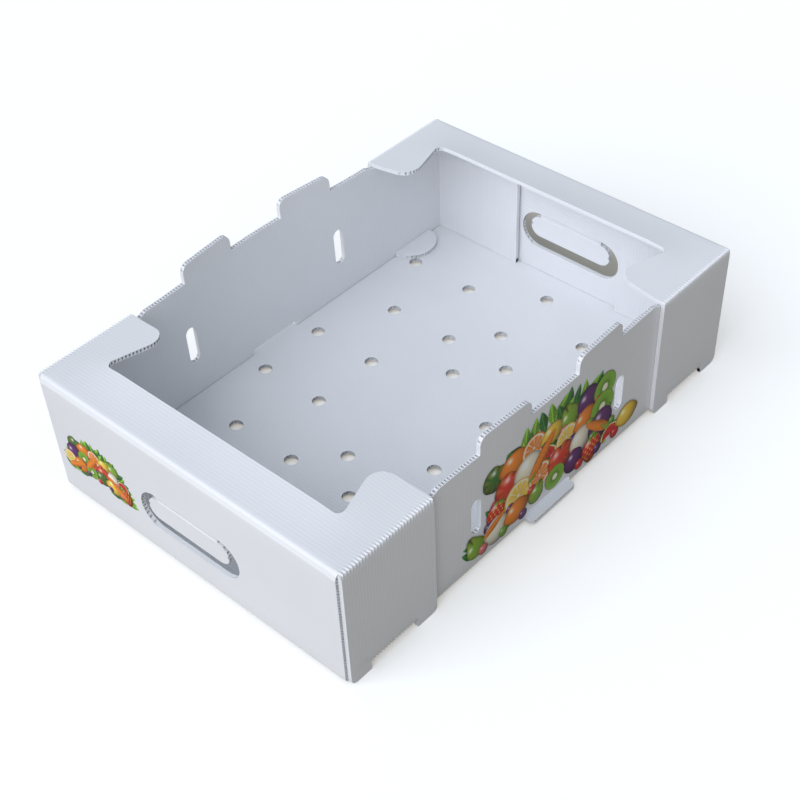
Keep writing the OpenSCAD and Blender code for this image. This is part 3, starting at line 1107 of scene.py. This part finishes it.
@dataclass
class PrintedHeap:
    """Generic heap of fruit and leaves, printed on a wall: flat motifs that lap over each other.

    keep_clear holds boxes of the wall that nothing may cover, each as least and greatest place
    across and then least and greatest height.
    """

    name: str
    half_width: float
    height: float
    low: float
    centre: float
    fruit: float
    keep_clear: tuple[tuple[float, float, float, float], ...] = ()
    lift: float = 0.06
    layer: float = 0.008
    seed: int = 5

    def fitted(self, motif: Printed) -> Printed | None:
        """The motif, smaller where its circle would touch a box that is kept clear, or None below half."""
        room = motif.size
        for left, right, low, high in self.keep_clear:
            across = max(left - motif.across, 0, motif.across - right)
            up = max(low - motif.up, 0, motif.up - high)
            room = min(room, (math.hypot(across, up) - 1) / 1.12)
        return replace(motif, size=room) if room > motif.size / 2 else None

    def motifs(self) -> list[Printed]:
        """Lays a bed of leaves, then rows of fruit from the top down with berries, then a few carrots."""
        draw = np.random.default_rng(self.seed)
        big = [
            (Motif.APPLE, RED), (Motif.CITRUS, ORANGE), (Motif.PEAR, GREEN), (Motif.LEMON, YELLOW),
            (Motif.PLUM, PURPLE), (Motif.MELON, RED), (Motif.KIWI, GREEN), (Motif.STRAWBERRY, RED),
            (Motif.CITRUS, YELLOW), (Motif.APPLE, LEAF_GREEN), (Motif.PLUM, CREAM), (Motif.LEMON, ORANGE),
        ]
        deck = np.concatenate([draw.permutation(len(big)) for _ in range(5)])
        rim = np.linspace(0.02, math.pi - 0.02, 30)
        bed = [(angle, 0.93) for angle in rim] + [
            (draw.uniform(0, math.pi), math.sqrt(draw.uniform(0.1, 0.75))) for _ in range(40)]
        made = []
        for angle, out in bed:
            across = self.centre + self.half_width * 0.95 * out * math.cos(angle)
            up = self.low + self.height * (0.10 + 0.82 * out * math.sin(angle))
            turn = angle + draw.uniform(-0.7, 0.7)
            ink = LEAF_GREEN if draw.random() < 0.5 else GREEN
            made.append(Printed(Motif.LEAF, across, up, self.fruit * draw.uniform(0.65, 0.95), turn, ink))
        step = self.fruit * 1.5
        level, row, count = self.low + self.height * 0.68, 0, 0
        while level > self.low + self.fruit * 0.6:
            share = (level - self.low) / self.height
            reach = self.half_width * math.sqrt(1 - share**2) - self.fruit * 0.9
            places = np.linspace(-reach, reach, round(2 * reach / step) + 1)
            for place in places + (row % 2 - 0.5) * 0.3 * step:
                kind, ink = big[deck[count]]
                size, turn = self.fruit * draw.uniform(0.80, 1.05), draw.uniform(-0.6, 0.6)
                made.append(Printed(kind, self.centre + place, level + draw.uniform(-2, 2), size, turn, ink))
                count += 1
            for place in (places[:-1] + places[1:]) / 2:
                ink = (RED, PURPLE, PINK, GREEN)[draw.integers(4)]
                made.append(Printed(
                    Motif.BERRY, self.centre + place, level - step * 0.38, self.fruit * 0.34, 0.0, ink))
            level -= step * 0.745
            row += 1
        for share, up, turn in ((-0.62, 0.24, 0.5), (-0.12, 0.55, 0.9), (0.50, 0.34, 2.5)):
            made.append(Printed(
                Motif.CARROT, self.centre + self.half_width * share, self.low + self.height * up,
                self.fruit * 1.5, turn, ORANGE))
        return [fit for fit in map(self.fitted, made) if fit]

    def layers(self, motifs: Sequence[Printed]) -> list[int]:
        """Layer of each motif: one more than the highest of the earlier ones whose circles it meets."""
        made = []
        for motif in motifs:
            under = [
                layer for layer, other in zip(made, motifs)
                if math.hypot(motif.across - other.across, motif.up - other.up)
                < WIDEST * (motif.size + other.size)
            ]
            made.append(1 + max(under, default=-1))
        return made

    def build(self, place: Callable[[Array, Array, Array], tuple[Array, Array]]) -> bpy.types.Object:
        """Draws the heap.

        Args:
            place: gives the flat coordinates and the places of points across and up a wall, lifted
                off it by a height.

        Returns:
            One mesh of thin closed lenses, with its colours in the attribute ink.
        """
        flats, spots, fans, quads, inks, first = [], [], [], [], [], 0
        motifs = self.motifs()
        for number, motif in zip(self.layers(motifs), motifs):
            rings, steps, _ = motif.kind.value
            share, angle = np.meshgrid(
                np.linspace(0, 1, rings + 1)[1:], np.arange(steps) * 2 * math.pi / steps, indexing="ij")
            share = np.concatenate([[0.0], share.ravel(), [0.0]])
            angle = np.concatenate([[0.0], angle.ravel(), [0.0]])
            reach = motif.size * share * motif.reach(angle)
            across = motif.across + reach * np.cos(angle + motif.turn)
            up = motif.up + reach * np.sin(angle + motif.turn)
            lift = self.lift + number * self.layer + 0.5 * self.layer * (1 - share**4)
            lift[-1] = self.lift + number * self.layer - 0.5 * self.layer
            flat, spot = place(across, up, lift)
            here, nxt = np.arange(steps), (np.arange(steps) + 1) % steps
            rim, last = 1 + (rings - 1) * steps, len(share) - 1
            fans += [first + np.stack([0 * here, 1 + here, 1 + nxt], axis=-1),
                     first + np.stack([0 * here + last, rim + nxt, rim + here], axis=-1)]
            inner = 1 + steps * np.arange(rings - 1)[:, None]
            quads.append(first + np.stack([
                inner + here, inner + steps + here, inner + steps + nxt, inner + nxt], axis=-1).reshape(-1, 4))
            flats.append(flat)
            spots.append(spot)
            inks.append(motif.inks(share, angle))
            first += len(share)
        faces = [np.concatenate(fans), np.concatenate(quads)]
        made = make_object(self.name, np.concatenate(spots) * MM, faces, np.concatenate(flats))
        colour = np.concatenate([np.concatenate(inks), np.ones((first, 1))], axis=1)
        layer = made.data.attributes.new("ink", "FLOAT_COLOR", "POINT")
        layer.data.foreach_set("color", colour.astype(np.float32).ravel())
        return made


@dataclass
class Wiring:
    """Adds shader nodes to one material or world."""

    tree: bpy.types.NodeTree

    def add(self, kind: str, inputs: dict[str | int, object], **settings: object) -> bpy.types.Node:
        """Adds a node.

        Args:
            kind: type of the node, without the word ShaderNode.
            inputs: for each input, by name or number, its value or the output that feeds it.
            settings: properties of the node, which are set first.

        Returns:
            The node.
        """
        node = self.tree.nodes.new("ShaderNode" + kind)
        for name, value in settings.items():
            setattr(node, name, value)
        self.feed(node, inputs)
        return node

    def feed(self, node: bpy.types.Node, inputs: dict[str | int, object]) -> None:
        """Sets or links inputs of a node, as add says."""
        for key, value in inputs.items():
            if isinstance(value, bpy.types.NodeSocket):
                self.tree.links.new(value, node.inputs[key])
            else:
                node.inputs[key].default_value = value


@dataclass(frozen=True)
class BoardFinish:
    """Satin pale plastic that shows its ribs through the skin."""

    colour: tuple[float, float, float] = (0.795, 0.80, 0.82)
    rib_shade: float = 0.96
    roughness: float = 0.42
    pitch: float = BOARD.pitch * MM
    name: str = "pale_fluted_plastic"
    printed: bool = False

    def material(self) -> bpy.types.Material:
        """Builds the node material, whose colour comes from the attribute ink where it is printed.

        Returns:
            The material: a wave across the flutes tints and dents the skin, and noise varies it.
        """
        made = bpy.data.materials.new(self.name)
        made.use_nodes = True
        wiring = Wiring(made.node_tree)
        flat = wiring.add("UVMap", {}, uv_map="flat")
        split = wiring.add("SeparateXYZ", {0: flat.outputs[0]})
        turn = wiring.add("Math", {0: split.outputs[0], 1: 2 * math.pi / self.pitch}, operation="MULTIPLY")
        wave = wiring.add("Math", {0: turn.outputs[0]}, operation="COSINE")
        share = wiring.add("MapRange", {"Value": wave.outputs[0], "From Min": -1.0})
        rib = wiring.add("Mix", {
            "Factor": share.outputs[0], "A": (*[self.rib_shade] * 3, 1), "B": (1, 1, 1, 1),
        }, data_type="RGBA")
        base = (*self.colour, 1)
        if self.printed:
            base = wiring.add("Attribute", {}, attribute_name="ink").outputs["Color"]
        colour = wiring.add(
            "Mix", {"Factor": 1.0, "A": base, "B": rib.outputs["Result"]},
            data_type="RGBA", blend_type="MULTIPLY")
        place = wiring.add("TexCoord", {})
        cloud = wiring.add("TexNoise", {"Vector": place.outputs["Object"], "Scale": 9.0, "Detail": 3.0})
        vary = wiring.add("MapRange", {"Value": cloud.outputs[0], "To Min": 0.95, "To Max": 1.05})
        tint = wiring.add(
            "VectorMath", {0: colour.outputs["Result"], "Scale": vary.outputs[0]}, operation="SCALE")
        gloss = wiring.add("MapRange", {
            "Value": cloud.outputs[0], "To Min": self.roughness - 0.06, "To Max": self.roughness + 0.06})
        bump = wiring.add("Bump", {"Strength": 0.35, "Distance": 0.0001, "Height": share.outputs[0]})
        wiring.feed(made.node_tree.nodes["Principled BSDF"], {
            "Specular IOR Level": 0.45, "Coat Weight": 0.0, "Base Color": tint.outputs[0],
            "Roughness": gloss.outputs[0], "Normal": bump.outputs[0],
        })
        return made


@dataclass(frozen=True)
class Studio:
    """Floor, background, lamps and camera."""

    eye: tuple[float, float, float] = (-0.6944, -0.6671, 0.8925)
    turn: tuple[float, float, float] = (44.06, 1.763, -48.444)
    lens: float = 64.97
    shift: tuple[float, float] = (-0.0177, 0.1208)
    floor_reach: float = 6.0
    floor_colour: tuple[float, float, float] = (0.28, 0.25, 0.20)
    floor_seen: tuple[float, float, float] = (0.82, 0.86, 0.91)
    floor_lift: tuple[float, float, float] = (0.30, 0.27, 0.22)
    # painted shadow behind the far end: its tone, partly the ground's own olive tone, then its middle, reach
    # and softness
    shadow_and_ground_tone: tuple[float, float, float] = (0.60, 0.56, 0.48)
    painted_shadow_middle: tuple[float, float] = (0.30, 0.04)
    painted_shadow_reach: tuple[float, float] = (0.10, 0.15)
    painted_shadow_soft: float = 0.09
    low_sky: tuple[float, float, float] = (0.74, 0.64, 0.51)
    high_sky: tuple[float, float, float] = (0.88, 0.985, 1.10)
    fill: float = 0.445
    key: float = 2.6
    key_colour: tuple[float, float, float] = (0.95, 0.985, 1.06)
    high_from: float = 0.45

    def camera(self) -> None:
        """Puts the camera where the photograph was taken from."""
        data = bpy.data.cameras.new("photo_view")
        data.lens = self.lens
        data.sensor_width = 36.0
        data.shift_x, data.shift_y = self.shift
        made = bpy.data.objects.new("photo_view", data)
        made.location = self.eye
        made.rotation_euler = [math.radians(angle) for angle in self.turn]
        bpy.context.scene.collection.objects.link(made)
        bpy.context.scene.camera = made

    def lamps(self) -> None:
        """One broad lamp beyond the near end, and a pale surround that is cooler overhead."""
        data = bpy.data.lights.new("key", "SUN")
        data.energy = self.key
        data.color = self.key_colour
        data.angle = math.radians(80)
        made = bpy.data.objects.new("key", data)
        made.rotation_euler = Vector((0.84, -0.02, -0.60)).to_track_quat("-Z", "Y").to_euler()
        bpy.context.scene.collection.objects.link(made)
        world = bpy.data.worlds.new("surround")
        bpy.context.scene.world = world
        world.use_nodes = True
        nodes, wiring = world.node_tree.nodes, Wiring(world.node_tree)
        place = wiring.add("TexCoord", {})
        split = wiring.add("SeparateXYZ", {0: place.outputs["Generated"]})
        height = wiring.add("MapRange", {"Value": split.outputs["Z"], "From Max": self.high_from})
        sky = wiring.add("Mix", {
            "Factor": height.outputs[0], "A": (*self.low_sky, 1), "B": (*self.high_sky, 1),
        }, data_type="RGBA")
        surround = nodes["Background"]
        wiring.feed(surround, {"Strength": self.fill, "Color": sky.outputs["Result"]})
        seen = wiring.add("Background", {"Color": (1, 1, 1, 1)})
        path = wiring.add("LightPath", {})
        mix = wiring.add("MixShader", {
            0: path.outputs["Is Camera Ray"], 1: surround.outputs[0], 2: seen.outputs[0]})
        wiring.feed(nodes["World Output"], {"Surface": mix.outputs[0]})

    def floor(self) -> None:
        """Lays the plain pale floor.

        The camera sees it lighter, so that it runs into white, but for a soft patch close behind
        the far end: a painted shadow, in the dark olive tone of the ground, that shows through the handle
        hole.
        """
        reach = self.floor_reach
        corners = np.array([[-reach, -reach, 0], [reach, -reach, 0], [reach, reach, 0], [-reach, reach, 0]])
        made = make_object("floor", corners, [np.array([[0, 1, 2, 3]])], corners[:, :2])
        paint = bpy.data.materials.new("pale_floor")
        paint.use_nodes = True
        wiring = Wiring(paint.node_tree)
        place = wiring.add("TexCoord", {})
        split = wiring.add("SeparateXYZ", {0: place.outputs["Object"]})
        # painted shadow: a soft patch behind the far end that the camera sees darker
        outside = []
        for axis, middle, reach in zip("XY", self.painted_shadow_middle, self.painted_shadow_reach):
            off = wiring.add("Math", {0: split.outputs[axis], 1: middle}, operation="SUBTRACT")
            size = wiring.add("Math", {0: off.outputs[0]}, operation="ABSOLUTE")
            edge = wiring.add("MapRange", {
                "Value": size.outputs[0], "From Min": reach - self.painted_shadow_soft, "From Max": reach,
            }, interpolation_type="SMOOTHSTEP")
            outside.append(edge.outputs[0])
        light = wiring.add("Math", {0: outside[0], 1: outside[1]}, operation="MAXIMUM").outputs[0]
        seen = wiring.add("Mix", {
            "Factor": light, "A": (*self.shadow_and_ground_tone, 1), "B": (*self.floor_seen, 1)}, data_type="RGBA")
        camera = wiring.add("LightPath", {}).outputs["Is Camera Ray"]
        tone = wiring.add("Mix", {
            "Factor": camera, "A": (*self.floor_colour, 1), "B": seen.outputs["Result"]}, data_type="RGBA")
        # inside the painted shadow the camera gets no white lift
        lift = wiring.add("Math", {0: camera, 1: light}, operation="MULTIPLY")
        wiring.feed(paint.node_tree.nodes["Principled BSDF"], {
            "Roughness": 0.9, "Emission Color": (*self.floor_lift, 1),
            "Base Color": tone.outputs["Result"], "Emission Strength": lift.outputs[0],
        })
        made.data.materials.append(paint)


def dress(piece: bpy.types.Object, finish: bpy.types.Material, body: str) -> None:
    """Gives a piece its finish and its body, and reports it.

    Args:
        piece: the piece.
        finish: its material.
        body: the CAD body that it moves with.
    """
    piece.data.materials.append(finish)
    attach(piece, body)
    log.info("%s: %d faces on %s", piece.name, len(piece.data.polygons), body)


def main() -> None:
    """Builds the tray and the studio in order."""
    logging.basicConfig(level=logging.INFO, format="%(name)s: %(message)s")
    bpy.context.scene.view_settings.view_transform = "Standard"
    layout = Layout.from_frame()
    studio = Studio()
    studio.camera()
    studio.lamps()
    studio.floor()
    plastic = BoardFinish().material()
    printing = BoardFinish(name="printed_fluted_plastic", printed=True, roughness=0.36).material()
    tub = Tub(layout)
    dress(tub.build(), plastic, "sheet")
    for side in (-1, 1):
        dress(tub.build_lug(side), plastic, "sheet")
    for way, body in ((-1, "near_flap"), (1, "far_flap")):
        end = EndFrame(layout, way)
        dress(end.build(), plastic, "sheet")
        dress(FingerFlap(layout, way, end).build(), plastic, body)
        if way < 0:
            heap = PrintedHeap("near_end_print", 45.0, 50.0, 33.0, -112.0, 9.0, layer=0.006)
            dress(heap.build(end.on_outside), printing, "sheet")
    slots = tuple(
        (side * tub.slot_x - tub.slot_w / 2, side * tub.slot_x + tub.slot_w / 2,
         layout.floor_z + tub.slot_z, layout.floor_z + tub.slot_z + tub.slot_h) for side in (-1, 1))
    notch = (-tub.lug_w / 2, tub.lug_w / 2, 0.0, layout.floor_z + tub.notch_h + 1)
    over = (-tub.layout.wing_x, tub.layout.wing_x, layout.wall_top_z - 3, layout.height_over_tabs)
    foot = (-layout.end_out, layout.end_out, 0.0, layout.floor_z + 0.5)
    heap = PrintedHeap(
        "front_wall_print", 120.0, 114.0, 9.0, 3.0, 17.5, (*slots, notch, over, foot), layer=0.02)
    dress(heap.build(tub.on_front), printing, "sheet")


if __name__ == "__main__":
    main()
